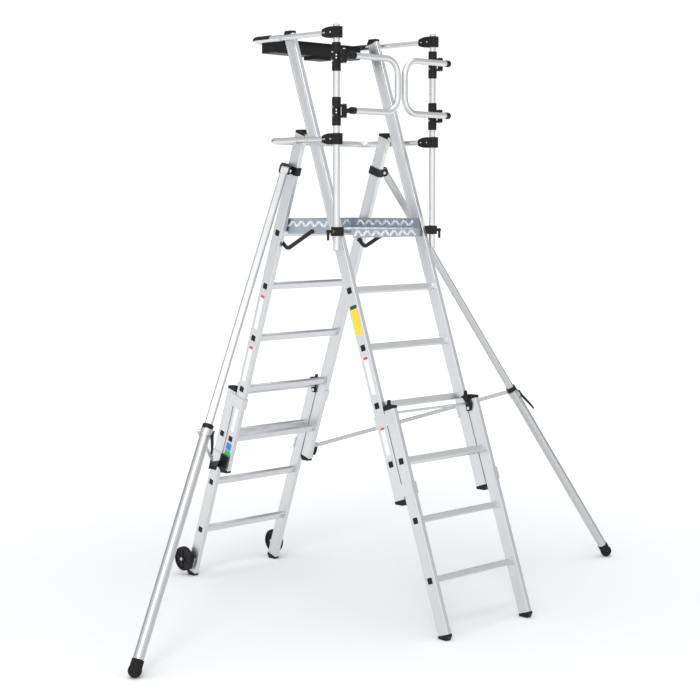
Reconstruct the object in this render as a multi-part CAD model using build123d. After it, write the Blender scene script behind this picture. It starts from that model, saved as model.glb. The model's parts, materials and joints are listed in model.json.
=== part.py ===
from build123d import *
import math
import os

os.makedirs("parts", exist_ok=True)

# ---------------------------------------------------------------- driving dimensions (mm, degrees)
TILT = 19.0             # lean of each ladder from vertical
LADDER_W = 600.0        # over the outer faces of the stiles
STILE_T = 25.0          # stile width across the ladder
STILE_D = 64.0          # stile depth, front to back
STILE_WALL = 2.0
SECTION_GAP = 5.0       # between an upper and a lower section
RUNG_PITCH = 280.0      # along the stile
RUNG = 30.0             # rounded square rung
SOLE_RUN = 272.8        # first rung above the sole, along the stile
CAP_T = 12.0            # end caps, at their thin end
HINGE_Z = 2288.0        # top hinge of the two ladders
HINGE_STANDOFF = 11.4   # hinge pin to the nearer edge of a stile
LOWER_TOP = 245.0       # lower section above its third rung
UPPER_BOTTOM = 171.0    # upper section below the third level
FRONT_TOP_Z = 2775.0    # front upper stile ends, at its centre line
REAR_TOP_Z = 2300.0
POST_OUT, POST_Y, POST_R = 31.7, -243.7, 15.0     # post centre outside the stile
POST_Z0, POST_Z1 = 1749.5, 2795.0
RAIL_R, SIDE_R = 15.0, 12.5
RAIL_WALL = 2.0
TOP_RAIL_Z, LOW_RAIL_Z = 2761.0, 2269.0
TOP_RAIL_BACK, LOW_RAIL_BACK = 354.0, 226.0
TOP_RAIL_START, LOW_RAIL_START = 135.0, 17.0
GATE_PIVOT_Y = -295.0
GATE_ARM_Z = (2396.0, 2648.0)
GATE_TUBE_R = 14.5
GATE_FORWARD = 50.0     # arms stand this far in front of their pins
GATE_TIP_X = 9.0        # half the gap between the two closed gates
DECK_Z = 1845.0         # standing surface
DECK_SIDE = 9.0         # gap from the deck to the stile, which its pin and link cross
DECK_Y0, DECK_Y1 = -230.0, 245.0
TOE_H = 50.0
STAB_OUT, STAB_PIVOT_Z = 45.0, 2130.0
STAB_FOOT = (1640.0, -380.0, 30.0)
STAB_COLLAR = 1400.0    # pivot to the clamp collar
STAB_IN, STAB_OUT_R = 36.0, 24.0
STRUT_T = 1570.0        # strut anchor below the stabiliser pivot, along the stile
WHEEL_Y, WHEEL_Z, WHEEL_R, WHEEL_W = 930.0, 88.0, 64.0, 28.0
RUN = 0.05              # radial clearance of a running pin
FREE = 0.5              # gap between pieces that slide past each other

# ---------------------------------------------------------------- derived
SN, CS = math.sin(math.radians(TILT)), math.cos(math.radians(TILT))
HALF = LADDER_W / 2
XC = HALF - STILE_T / 2
XI = HALF - STILE_T
CAP_HALF = STILE_D / 2
POST_X = HALF + POST_OUT
DECK_X = XI - DECK_SIDE
STAB_PIVOT_X = HALF + STAB_OUT
OFFSET = STILE_D + SECTION_GAP
BASE_Z = SOLE_RUN * CS - OFFSET * SN
BASE_Y = -(STILE_D / 2 + HINGE_STANDOFF) / CS - (HINGE_Z - BASE_Z) * SN / CS
FRONT = Plane(origin=(0, BASE_Y, BASE_Z), x_dir=(1, 0, 0), z_dir=(0, SN, CS)).location


def along(z):
    """Distance along the upper centre line at which it reaches height z."""
    return (z - BASE_Z) / CS


def to_us(y, z):
    """Outward offset and distance along the stile of a point, front ladder."""
    dy, dz = y - BASE_Y, z - BASE_Z
    return -dy * CS + dz * SN, dy * SN + dz * CS


def level(k):
    return (k - 1) * RUNG_PITCH


LOW_END = -(SOLE_RUN - CAP_T - CAP_HALF * SN / CS)
LOW_TOP_S = level(3) + LOWER_TOP
UP_END = level(3) - UPPER_BOTTOM
FRONT_TOP_S, REAR_TOP_S = along(FRONT_TOP_Z), along(REAR_TOP_Z)

pieces = {}


def save(name, *objs):
    """Keep a node's solids until the whole model is there."""
    solids = []
    for o in objs:
        for p in (o if isinstance(o, (list, tuple)) else [o]):
            solids += list(p.solids())
    pieces[name] = Compound(children=solids)


def both(obj):
    """A piece and its mirror image on the other side of the ladder."""
    return [obj, mirror(obj, about=Plane.YZ)]


def left(obj):
    return mirror(obj, about=Plane.YZ)


def rear(objs):
    return [mirror(o, about=Plane.XZ) for o in objs]


def box(x0, x1, y0, y1, z0, z1):
    return Pos((x0 + x1) / 2, (y0 + y1) / 2, (z0 + z1) / 2) * Box(x1 - x0, y1 - y0, z1 - z0)


def fbox(x0, x1, u0, u1, s0, s1):
    """Box in the front ladder's own directions: across, outward, along."""
    return FRONT * box(x0, x1, min(-u0, -u1), max(-u0, -u1), s0, s1)


def rod(p, q, r):
    """Round bar between two points."""
    p, q = Vector(*p), Vector(*q)
    d = q - p
    return Plane(origin=p, z_dir=d).location * Pos(0, 0, d.length / 2) * Cylinder(r, d.length)


def pipe(p, q, r, wall):
    return rod(p, q, r) - rod(p, q, r - wall)


def fpin(x0, x1, u, s, r):
    """Round pin across the ladder at offset u and distance s."""
    return FRONT * Pos((x0 + x1) / 2, -u, s) * Rot(0, 90, 0) * Cylinder(r, x1 - x0)


def xpin(x0, x1, y, z, r):
    return Pos((x0 + x1) / 2, y, z) * Rot(0, 90, 0) * Cylinder(r, x1 - x0)


def yz_plate(pts, x0, x1, r=0.0):
    """Flat plate across X from a (y, z) outline."""
    face = Polygon(*pts, align=None)
    if r:
        face = fillet(face.vertices(), r)
    return Pos((x0 + x1) / 2, 0, 0) * extrude(Plane.YZ * face, (x1 - x0) / 2, both=True)


def us_plate(pts, x0, x1, r=0.0):
    face = Polygon(*[(-u, s) for u, s in pts], align=None)
    if r:
        face = fillet(face.vertices(), r)
    return FRONT * Pos((x0 + x1) / 2, 0, 0) * extrude(Plane.YZ * face, (x1 - x0) / 2, both=True)


# ---------------------------------------------------------------- ladder sections
stile_profile = (RectangleRounded(STILE_T, STILE_D, 3)
                 - RectangleRounded(STILE_T - 2 * STILE_WALL, STILE_D - 2 * STILE_WALL, 1.5))
for gx in (-STILE_T / 2, STILE_T / 2):
    for gy in (-21, 21):
        stile_profile -= Pos(gx, gy) * Rectangle(1.2, 2.4)
rung_profile = RectangleRounded(RUNG, RUNG, 5) - RectangleRounded(RUNG - 3.6, RUNG - 3.6, 3.4)
RUNG_END = HALF - 1.0


def stiles(u, s0, s1, levels, cuts=()):
    one = FRONT * Pos(XC, -u, s0) * extrude(stile_profile, s1 - s0)
    hole = Rot(0, 90, 0) * extrude(RectangleRounded(RUNG + 0.2, RUNG + 0.2, 5.1), STILE_T + 4)
    for k in levels:
        one -= FRONT * Pos(XI - 2, -u, level(k)) * hole
    for c in cuts:
        one -= c
    return both(one)


def rungs(u, levels):
    bar = Rot(0, 90, 0) * extrude(rung_profile, 2 * RUNG_END)
    return [FRONT * Pos(-RUNG_END, -u, level(k)) * bar for k in levels]


def plugs(u, levels):
    head = extrude(RectangleRounded(29, 29, 4.5), 0.9)
    stem = Pos(0, 0, -12) * extrude(RectangleRounded(26.2, 26.2, 3.3), 12)
    plug = Rot(0, 90, 0) * (head + stem)
    out = []
    for k in levels:
        out += both(FRONT * Pos(RUNG_END, -u, level(k)) * plug)
    return out


def end_cap(u, s, top):
    """End cap: its sole lies level when the ladder leans."""
    e = CAP_HALF
    rise = math.tan(math.radians(TILT))
    pts = [(-e, 0), (-e, CAP_T), (14, CAP_T + (14 + e) * rise), (e, CAP_T - 2), (e, 0)]
    f = 1 if top else -1
    poly = Polygon(*[(f * a, f * b) for a, b in pts], align=None)
    ends = sorted(poly.vertices(), key=lambda v: -f * v.Y)[:3]
    poly = fillet(ends, 2.0)
    cap = extrude(Plane.YZ * poly, 13.5, both=True)
    stem = Pos(0, 0, -f * 8 - 8) * extrude(RectangleRounded(STILE_T - 4.4, STILE_D - 4.4, 2), 16)
    return both(FRONT * Pos(XC, -u, s) * (cap + stem))


def guides(own, oth, s0, s1, rivets):
    """Wrap riveted to one section that holds the other section's stile."""
    g = 1 if oth > own else -1
    far = STILE_D / 2 + FREE
    x1 = HALF + FREE + 3.0
    parts = fbox(HALF + FREE, x1, own - 10 * g, oth + g * (far + 3), s0, s1)
    parts += fbox(HALF, HALF + FREE + 0.5, own - 10 * g, own + 28 * g, s0, s1)
    parts += fbox(XI - FREE - 3, x1, oth + g * far, oth + g * (far + 3), s0, s1)
    parts += fbox(XI - FREE - 3, XI - FREE, oth + g * (far + 3), oth + g * (far - 8), s0, s1)
    out = both(parts)
    for s in rivets:
        out += both(fpin(x1, x1 + 1.6, own, s, 4.2))
    return out


HOOK_U, HOOK_S = 48.0, level(4) - 75.0
HOOK_X0, HOOK_X1 = XI - 9.5, XI - 1.5
HOOK_OPEN = 20.0
NOSE_R = 69.8           # from the lock's pin to the top of its nose


def hook_pins():
    """Rivets on the lower section that the rung locks swing on."""
    return both(fpin(HOOK_X0 - FREE, XI, HOOK_U, HOOK_S, 4.0)
                + fpin(HOOK_X0 - FREE - 2, HOOK_X0 - FREE, HOOK_U, HOOK_S, 8.0))


def turned(obj, deg):
    """Turn about the rung lock's pin, outward for a positive angle."""
    c = FRONT * Pos(0, -HOOK_U, HOOK_S)
    return c * Rot(deg, 0, 0) * c.inverse() * obj


def rung_lock():
    z = level(4)
    pts = [(38, z - 90), (60, z - 86), (64, z - 52), (52, z - 28), (36, z - 12), (32, z + 10),
           (18.5, z + 10), (16, z - 15.4), (3, z - 15.4), (1, z - 27), (16, z - 33), (27, z - 48),
           (33, z - 74)]
    hook = us_plate(pts, HOOK_X0, HOOK_X1, 1.5) + fpin(HOOK_X0, XI - 0.4, HOOK_U, HOOK_S, 13)
    hook -= fpin(HOOK_X0 - 9, XI + 1, HOOK_U, HOOK_S, 4.0 + RUN)
    # the nose is round about the pin, so that it swings in under the rung's corner
    hook -= (fbox(HOOK_X0 - 1, HOOK_X1 + 1, -20, 16.1, z - 40, z + 20)
             - fpin(HOOK_X0 - 2, HOOK_X1 + 2, HOOK_U, HOOK_S, NOSE_R))
    hook = turned(hook, HOOK_OPEN)
    bar = turned(fpin(-HOOK_X0, HOOK_X0, 38, z - 52, 6.0), HOOK_OPEN)
    return both(hook), [bar]


lock_hooks, lock_bar = rung_lock()
UPPER_F, UPPER_R, LOWER = (3, 4, 5, 6), (3, 4, 5, 6, 7), (1, 2, 3)

save("front_upper_stiles", stiles(0, UP_END, FRONT_TOP_S, UPPER_F))
save("front_upper_rungs", rungs(0, UPPER_F))
save("front_upper_caps", plugs(0, UPPER_F), end_cap(0, UP_END, False), end_cap(0, FRONT_TOP_S, True))
low_guide = guides(0, OFFSET, UP_END + 12, UP_END + 68, (UP_END + 28, UP_END + 52))
save("front_upper_guides", low_guide)
save("front_lower_stiles", stiles(OFFSET, LOW_END, LOW_TOP_S, LOWER))
save("front_lower_rungs", rungs(OFFSET, LOWER))
low_caps = end_cap(OFFSET, LOW_END, False) + end_cap(OFFSET, LOW_TOP_S, True)
save("front_lower_caps", plugs(OFFSET, LOWER), low_caps)
top_guide = guides(OFFSET, 0, LOW_TOP_S - 70, LOW_TOP_S - 12,
                   (LOW_TOP_S - 61, LOW_TOP_S - 41, LOW_TOP_S - 21))
save("front_lower_guides", top_guide, hook_pins())
save("front_lock_hooks", lock_hooks)
save("front_lock_bar", lock_bar)

save("rear_upper_stiles", rear(stiles(0, UP_END, REAR_TOP_S, UPPER_R)))
save("rear_upper_rungs", rear(rungs(0, UPPER_R)))
save("rear_upper_caps", rear(plugs(0, UPPER_R) + end_cap(0, UP_END, False) + end_cap(0, REAR_TOP_S, True)))
save("rear_upper_guides", rear(low_guide))
save("rear_lower_stiles", rear(stiles(OFFSET, LOW_END, LOW_TOP_S, LOWER)))
save("rear_lower_rungs", rear(rungs(OFFSET, LOWER)))
save("rear_lower_caps", rear(plugs(OFFSET, LOWER) + low_caps))
save("rear_lower_guides", rear(top_guide + hook_pins()))
save("rear_lock_hooks", rear(lock_hooks))
save("rear_lock_bar", rear(lock_bar))

# ---------------------------------------------------------------- top hinge of the two ladders
hu, hs = to_us(0.0, HINGE_Z)
PIN_R, KNUCKLE_R = 4.0, 8.0
EDGE_U = -STILE_D / 2


def leaf(spans, bore):
    pts = [(XI + 1, hs + 10), (HALF - 1, hs + 10), (HALF - 1, hs - 38), (XC, hs - 80), (XI + 1, hs - 38)]
    face = fillet(Polygon(*pts, align=None).vertices(), 3)
    plate = FRONT * Pos(0, -EDGE_U + 1.5, 0) * extrude(Plane.XZ * face, 1.5, both=True)
    for a, b in spans:
        plate += fpin(a, b, hu, hs, KNUCKLE_R)
        plate += fbox(a, b, EDGE_U - 2.5, hu, hs - KNUCKLE_R, hs + KNUCKLE_R - 1)
    return plate - fpin(XI - 5, HALF + 5, hu, hs, bore)


front_leaf = leaf(((XI + 1, XI + 7), (XI + 17, XI + 23)), PIN_R)
rear_leaf = leaf(((XI + 7.4, XI + 16.6),), PIN_R + RUN)
hinge_pin = fpin(XI, XI + 24, hu, hs, PIN_R)
save("hinge_front_leaves", both(front_leaf), both(hinge_pin))
save("hinge_rear_leaves", rear(both(rear_leaf)))

# ---------------------------------------------------------------- guard posts and rails
post = pipe((POST_X, POST_Y, POST_Z0), (POST_X, POST_Y, POST_Z1), POST_R, 2.0)
save("guard_posts", both(post))
plug = Pos(POST_X, POST_Y, 0) * (
    Pos(0, 0, POST_Z1 - 8) * Cylinder(POST_R - 2.1, 16)
    + Pos(0, 0, POST_Z1 + 2) * Cylinder(POST_R, 4))
plug = fillet(plug.edges().sort_by(Axis.Z)[-1], 2.5)
foot_plug = Pos(POST_X, POST_Y, 0) * (
    Pos(0, 0, POST_Z0 + 7) * Cylinder(POST_R - 2.1, 14)
    + Pos(0, 0, POST_Z0 - 1.5) * Cylinder(POST_R, 3))
save("post_end_plugs", both(plug), both(foot_plug))

CONN_TIP, CONN_BACK = -162.0, -268.0
connectors = []
for zc in (LOW_RAIL_Z, TOP_RAIL_Z):
    with BuildSketch(Plane.YZ) as sk:
        with BuildLine():
            Polyline((CONN_TIP, 13), (CONN_TIP, -13))
            ThreePointArc((CONN_TIP, -13), (-186, -22), (-216, -26))
            Polyline((-216, -26), (CONN_BACK, -26), (CONN_BACK, 26), (-216, 26))
            ThreePointArc((-216, 26), (-186, 22), (CONN_TIP, 13))
        make_face()
    block = extrude(sk.sketch, 20, both=True)
    block = chamfer(block.edges().filter_by(GeomType.LINE).filter_by(Axis.Z), 3.0)
    block = Pos(POST_X, 0, zc) * block
    block -= rod((POST_X, POST_Y, zc - 40), (POST_X, POST_Y, zc + 40), POST_R + RUN)
    block -= rod((POST_X, -215, zc), (POST_X, -150, zc), SIDE_R + RUN)
    connectors += both(block)
save("rail_connectors", connectors)

side_tubes = []
for zc, end in ((TOP_RAIL_Z, TOP_RAIL_START + 70), (LOW_RAIL_Z, LOW_RAIL_START + 70)):
    side_tubes += both(pipe((POST_X, -214, zc), (POST_X, end, zc), SIDE_R, 1.6))
save("rail_side_tubes", side_tubes)


def u_rail(y0, back, zc, r=RAIL_R, wall=RAIL_WALL):
    """Tube bent round the back of the guardrail; no wall gives a solid bar."""
    bend = 60.0
    path = FilletPolyline((-POST_X, y0), (-POST_X, back), (POST_X, back), (POST_X, y0), radius=bend)
    start = Plane(origin=(-POST_X, y0, 0), z_dir=(0, 1, 0))
    ring = start * (Circle(r) - Circle(r - wall) if wall else Circle(r))
    return Pos(0, 0, zc) * sweep(ring, path)


save("top_u_rail", u_rail(TOP_RAIL_START, TOP_RAIL_BACK, TOP_RAIL_Z))
save("lower_u_rail", u_rail(LOW_RAIL_START, LOW_RAIL_BACK, LOW_RAIL_Z))

# ---------------------------------------------------------------- gate collars on the posts
COLLAR_R, COLLAR_H = 21.0, 132.0
EAR0, EAR1 = 20.0, 31.0
collars = []
for zc in GATE_ARM_Z:
    c = Pos(POST_X, POST_Y, zc) * Cylinder(COLLAR_R, COLLAR_H)
    c = chamfer(c.edges().filter_by(GeomType.CIRCLE), 1.5)
    for a in (-EAR1, EAR0):
        c += box(POST_X - 11, POST_X + 11, GATE_PIVOT_Y, POST_Y, zc + a, zc + a + EAR1 - EAR0)
        c += Pos(POST_X, GATE_PIVOT_Y, zc + a + (EAR1 - EAR0) / 2) * Cylinder(12.5, EAR1 - EAR0)
    c -= rod((POST_X, POST_Y, zc - 80), (POST_X, POST_Y, zc + 80), POST_R + RUN)
    c -= rod((POST_X, GATE_PIVOT_Y, zc - 40), (POST_X, GATE_PIVOT_Y, zc + 40), 4.0)
    collars += both(c)
save("gate_collars", collars)

# ---------------------------------------------------------------- post clamps and their levers
CLAMP_Z = 1837.0
fy_out = POST_Y + 18.7
CLAMP_X = POST_X + 20.3  # outer face of the clamp
clamp = box(HALF + 0.2, CLAMP_X, -263, -225, CLAMP_Z - 21, CLAMP_Z + 21)
clamp = fillet(clamp.edges().filter_by(Axis.Z), 4)
clamp += box(HALF, HALF + 8, -232, -186, CLAMP_Z - 21, CLAMP_Z + 21)
clamp -= rod((POST_X, POST_Y, CLAMP_Z - 30), (POST_X, POST_Y, CLAMP_Z + 30), POST_R + RUN)
clamp -= xpin(CLAMP_X - 12, CLAMP_X + 8, POST_Y, CLAMP_Z, 4.0 + RUN)
save("post_clamps", both(clamp))
lever = xpin(POST_X + POST_R + 0.4, CLAMP_X + 10, POST_Y, CLAMP_Z, 4.0)
lever += xpin(CLAMP_X + 9.5, CLAMP_X + 40, POST_Y, CLAMP_Z, 8.0)
lever += box(CLAMP_X + 30, CLAMP_X + 40, POST_Y - 5.5, POST_Y + 5.5, CLAMP_Z - 41, CLAMP_Z + 2)
lever = chamfer(lever.edges().filter_by(Axis.Z).filter_by_position(Axis.X, CLAMP_X + 29, CLAMP_X + 41), 2.0)
save("t_lever_right", lever)
save("t_lever_left", left(lever))

# ---------------------------------------------------------------- fixed bolts of the main frame
bolts = []
for zc in (TOP_RAIL_Z, LOW_RAIL_Z):
    yb = BASE_Y + along(zc) * SN
    bolts += both(xpin(HALF, POST_X - SIDE_R, yb, zc, 8.0))
    bolts += both(xpin(POST_X + SIDE_R, POST_X + SIDE_R + 4, yb, zc, 6.5))
for zc in (TOP_RAIL_Z, LOW_RAIL_Z):
    for yb in (-222.0, -176.0):
        bolts += both(xpin(POST_X + 20, POST_X + 21.6, yb, zc, 3.6))
for zc in GATE_ARM_Z:
    pin = rod((POST_X, GATE_PIVOT_Y, zc - 36), (POST_X, GATE_PIVOT_Y, zc + 36), 4.0)
    pin += rod((POST_X, GATE_PIVOT_Y, zc + EAR1), (POST_X, GATE_PIVOT_Y, zc + EAR1 + 5), 7.0)
    pin += rod((POST_X, GATE_PIVOT_Y, zc - EAR1 - 5), (POST_X, GATE_PIVOT_Y, zc - EAR1), 7.0)
    bolts += both(pin)
    for dz in (-20, 20):
        bolts += both(xpin(POST_X + COLLAR_R, POST_X + COLLAR_R + 7, POST_Y, zc + dz, 4.5))
        bolts += both(xpin(POST_X - COLLAR_R - 5, POST_X - COLLAR_R, POST_Y, zc + dz, 4.5))
nut = xpin(CLAMP_X, CLAMP_X + 9, POST_Y, CLAMP_Z, 8.5) - xpin(CLAMP_X - 2, CLAMP_X + 13, POST_Y, CLAMP_Z, 4.0 + RUN)
bolts += both(nut)
DECK_PIN_Y, DECK_PIN_Z = -200.0, 1822.0
deck_pin = xpin(DECK_X - 9, XI, DECK_PIN_Y, DECK_PIN_Z, 5.0)
deck_pin += xpin(DECK_X + FREE, XI, DECK_PIN_Y, DECK_PIN_Z, 9.0)
deck_pin += xpin(DECK_X - 9, DECK_X - 4, DECK_PIN_Y, DECK_PIN_Z, 9.0)
bolts += both(deck_pin)
save("frame_bolts", bolts)

# ---------------------------------------------------------------- platform
sheet = box(-DECK_X, DECK_X, DECK_Y0, DECK_Y1, DECK_Z - 3, DECK_Z)
lip = Polygon((44 - DECK_X, DECK_Z), (63 - DECK_X, DECK_Z - 40), (DECK_X - 16, DECK_Z - 40),
              (DECK_X - 8, DECK_Z), align=None)
sheet += Pos(0, DECK_Y0 + 1.5, 0) * extrude(Plane.XZ * lip, 1.5, both=True)
flank = [(-227, DECK_Z), (-227, DECK_Z - 40), (-168, DECK_Z - 40), (-120, DECK_Z - 24),
         (165, DECK_Z - 24), (172, DECK_Z)]
side = yz_plate(flank, DECK_X - 3, DECK_X)
side -= xpin(DECK_X - 8, DECK_X + 5, DECK_PIN_Y, DECK_PIN_Z, 5.0 + RUN)
for rib_y in (-110, 0, 110):
    sheet += box(-DECK_X + 3, DECK_X - 3, rib_y - 12, rib_y + 12, DECK_Z - 20, DECK_Z - 17)
    for e in (-12, 9):
        sheet += box(-DECK_X + 3, DECK_X - 3, rib_y + e, rib_y + e + 3, DECK_Z - 20, DECK_Z - 2)
deck = sheet + side + left(side)
TOE_Y0 = -226.0
LET_IN = 1.5            # the toe boards stand in a rebate round the tread
deck -= both(box(DECK_X - 2.5, DECK_X + 5, TOE_Y0, DECK_Y1 + 5, DECK_Z - LET_IN, DECK_Z + 5))
deck -= box(-DECK_X - 5, DECK_X + 5, DECK_Y1 - 2.5, DECK_Y1 + 5, DECK_Z - LET_IN, DECK_Z + 5)
save("platform_deck", deck)
toe = yz_plate([(TOE_Y0, DECK_Z - LET_IN), (TOE_Y0, DECK_Z), (-204, DECK_Z + TOE_H), (DECK_Y1, DECK_Z + TOE_H),
                (DECK_Y1, DECK_Z - LET_IN)], DECK_X - 2.5, DECK_X)
toe_rear = box(-DECK_X + 2.5, DECK_X - 2.5, DECK_Y1 - 2.5, DECK_Y1, DECK_Z - LET_IN, DECK_Z + TOE_H)
save("toe_boards", both(toe), toe_rear)

LINK_D, LINK_B, LINK_E = (-8.0, 1833.0), (165.0, 1746.0), (217.0, 1790.0)
LINK_X0 = DECK_X + 0.6
LINK_X1 = LINK_X0 + 5.0
LINK_W, LINK_BEND = 20.0, 28.0
link_mid = (LINK_X0 + LINK_X1) / 2
link_path = FilletPolyline(*[(link_mid, y, z) for y, z in (LINK_D, LINK_B, LINK_E)], radius=LINK_BEND)
link_face = Plane(origin=link_path @ 0, x_dir=(1, 0, 0), z_dir=link_path % 0) * Rectangle(LINK_X1 - LINK_X0, LINK_W)
link = sweep(link_face, link_path)
for y, z in (LINK_D, LINK_E):
    link += xpin(LINK_X0, LINK_X1, y, z, LINK_W / 2 + 1)
link -= xpin(LINK_X0 - 5, LINK_X1 + 5, LINK_E[0], LINK_E[1], 5.0 + RUN)
save("platform_links", both(link))
link_pin = xpin(LINK_X0 - 3, XI, LINK_E[0], LINK_E[1], 5.0)
link_pin += xpin(LINK_X1 + FREE, XI, LINK_E[0], LINK_E[1], 8.0)
link_pin += xpin(LINK_X0 - 5, LINK_X0 - FREE, LINK_E[0], LINK_E[1], 8.0)

# ---------------------------------------------------------------- swing gates (built on the right)
ARM_Y = GATE_PIVOT_Y - GATE_FORWARD
SOCKET_X = POST_X - 18.7
spans = []
neck = None
for zc in GATE_ARM_Z:
    hub = Pos(POST_X, GATE_PIVOT_Y, zc) * Cylinder(13, 2 * EAR0 - 1.0)
    arm = rod((POST_X, GATE_PIVOT_Y, zc), (POST_X, ARM_Y, zc), 11.0)
    cup = rod((POST_X + 12, ARM_Y, zc), (SOCKET_X, ARM_Y, zc), GATE_TUBE_R + 2.0)
    cup = fillet(cup.edges().filter_by(GeomType.CIRCLE).sort_by(Axis.X)[-1], 9.0)
    tip = rod((POST_X + 11, ARM_Y, zc), (POST_X + 18, ARM_Y, zc), 4.0)
    spigot = rod((SOCKET_X + 2, ARM_Y, zc), (SOCKET_X - 34, ARM_Y, zc), GATE_TUBE_R - 1.9)
    one = hub + arm + cup + tip + spigot
    one -= rod((POST_X, GATE_PIVOT_Y, zc - 40), (POST_X, GATE_PIVOT_Y, zc + 40), 4.0 + RUN)
    spans.append(one)
TIP = GATE_TIP_X + GATE_TUBE_R
zl, zh = GATE_ARM_Z
loop_path = Plane(origin=(0, ARM_Y, 0), x_dir=(1, 0, 0), z_dir=(0, -1, 0)) * FilletPolyline(
    (SOCKET_X, zl), (TIP, zl), (TIP, zh), (SOCKET_X, zh), radius=80)
loop_face = Plane(origin=(SOCKET_X, ARM_Y, zl), z_dir=(-1, 0, 0)) * (
    Circle(GATE_TUBE_R) - Circle(GATE_TUBE_R - 1.8))
loop = sweep(loop_face, loop_path)
save("gate_neck_right", spans)
save("gate_loop_right", loop)
save("gate_neck_left", [left(s) for s in spans])
save("gate_loop_left", left(loop))

# ---------------------------------------------------------------- tool tray in the top rail
TRAY_X, TRAY_Y0, TRAY_Y1 = HALF + 11, 203.0, 337.0
TRAY_Z1, TRAY_Z0 = 2764.0, 2700.0
SADDLE_X = HALF - 24        # the tray's saddles reach round the bends to here


def tray_block(grow, z0, z1):
    w, d = 2 * (TRAY_X - 8 + grow), TRAY_Y1 - TRAY_Y0 - 36 + 2 * grow
    return Pos(0, (TRAY_Y0 + TRAY_Y1) / 2, z0) * extrude(RectangleRounded(w, d, 16 + grow), z1 - z0)


rim = Pos(0, (TRAY_Y0 + TRAY_Y1) / 2, TRAY_Z1 - 4) * extrude(
    RectangleRounded(2 * TRAY_X, TRAY_Y1 - TRAY_Y0, 34), 4)
pan = box(-26, 98, 228, 312, TRAY_Z0 - 16, TRAY_Z0 + 1)
pan = fillet(pan.edges().filter_by(Axis.Z), 12)
tray = rim + tray_block(0, TRAY_Z0, TRAY_Z1 - 2) + pan
tray -= tray_block(-3, TRAY_Z0 + 3, TRAY_Z1 + 5)
cut = box(-23, 95, 231, 309, TRAY_Z0 - 13, TRAY_Z0 + 6)
tray -= fillet(cut.edges().filter_by(Axis.Z), 9)
for x0, x1 in ((-POST_X, 20 - TRAY_X), (TRAY_X - 20, POST_X)):
    tray += box(x0, x1, TRAY_Y0 + 14, TRAY_Y1 - 16, TRAY_Z1 - 4, TRAY_Z1)
saddle = u_rail(TOP_RAIL_START, TOP_RAIL_BACK, TOP_RAIL_Z, RAIL_R + 3, 0)
for x0, x1 in ((-400, -SADDLE_X), (SADDLE_X, 400)):
    tray += saddle & box(x0, x1, TRAY_Y0 + 8, 400, TOP_RAIL_Z - 2, TOP_RAIL_Z + 30)
tray -= u_rail(TOP_RAIL_START, TOP_RAIL_BACK, TOP_RAIL_Z, RAIL_R + 0.1, 0)
save("tool_tray", tray)

# ---------------------------------------------------------------- stabilisers (built on the right)
S_P = along(STAB_PIVOT_Z)
P = Vector(STAB_PIVOT_X, -(BASE_Y + S_P * SN), STAB_PIVOT_Z)
F = Vector(*STAB_FOOT)
T = Vector(0, SN, -CS)                   # down the rear stile
D = (F - P).normalized()                 # down the stabiliser
H = D.cross(T).normalized()              # hinge axis
W = H.cross(T).normalized() * -1.0       # outward, square to the stile
if W.dot(D) < 0:
    W = W * -1.0
STAB_L = (F - P).length
OPEN = math.degrees(math.acos(D.dot(T)))
ANCHOR_H = 34.0

stab = Plane(origin=P, x_dir=H, z_dir=D).location       # x hinge axis, z down the leg
folded = Plane(origin=P, x_dir=H, z_dir=T).location     # same point, z down the stile
W_SIGN = 1.0 if (Plane(origin=P, x_dir=H, z_dir=T).y_dir).dot(W) > 0 else -1.0
OUT = 1.0 if (Plane(origin=P, x_dir=H, z_dir=D).y_dir).dot(W) > 0 else -1.0


def tbox(h0, h1, w0, w1, t0, t1):
    """Box along hinge axis, outward and down the stile, from the pivot."""
    a, b = sorted((W_SIGN * w0, W_SIGN * w1))
    return folded * box(h0, h1, a, b, t0, t1)


def sbox(h0, h1, o0, o1, c0, c1):
    a, b = sorted((OUT * o0, OUT * o1))
    return stab * box(h0, h1, a, b, c0, c1)


def spin_rod(loc, x0, x1, y, z, r):
    return loc * Pos((x0 + x1) / 2, y, z) * Rot(0, 90, 0) * Cylinder(r, x1 - x0)


def rbox(x0, x1, u0, u1, s0, s1):
    """Box in the rear ladder's directions."""
    return mirror(fbox(x0, x1, u0, u1, s0, s1), about=Plane.XZ)


EAR_IN = STAB_IN / 2 + 1.5
EAR_OUT = EAR_IN + 7.0
band_u = STILE_D / 2 + 0.05
band = rbox(XI - 4.5, HALF + 4.5, -band_u - 4.45, band_u + 4.45, S_P - 20, S_P + 20)
band -= rbox(XI - 0.05, HALF + 0.05, -band_u, band_u, S_P - 30, S_P + 30)
fork = tbox(-EAR_OUT, EAR_OUT, -66, -21.5, -18, 18)
for a, b in ((-EAR_OUT, -EAR_IN), (EAR_IN, EAR_OUT)):
    fork += tbox(a, b, -60, 0, -19, 19)
    fork += spin_rod(folded, a, b, 0, 0, 20)
fork -= rbox(XI - 75, HALF + 0.05, -60, 60, S_P - 60, S_P + 60)
fork -= spin_rod(folded, -40, 40, 0, 0, 5.0)
pin = spin_rod(folded, -EAR_OUT - 6, EAR_OUT + 6, 0, 0, 5.0)
for a, b in ((-EAR_OUT - 6, -EAR_OUT), (EAR_OUT, EAR_OUT + 6)):
    pin += spin_rod(folded, a, b, 0, 0, 7.5)
yb, zb = 0.0, STRUT_T
EAR_H0, EAR_H1 = ANCHOR_H + 3.0, ANCHOR_H + 9.0
anchor = tbox(EAR_H0, EAR_H1, -34, 12, STRUT_T - 12, STRUT_T + 46)
anchor += tbox(4, EAR_H1, -70, 6, STRUT_T + 25, STRUT_T + 46)
s_b = S_P - STRUT_T
anchor -= rbox(XI - 75, HALF + 6, -60, 120, s_b - 80, UP_END + 70)
anchor += rbox(HALF + 6, HALF + 14, -20, 30, s_b - 46, s_b + 30)
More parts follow.
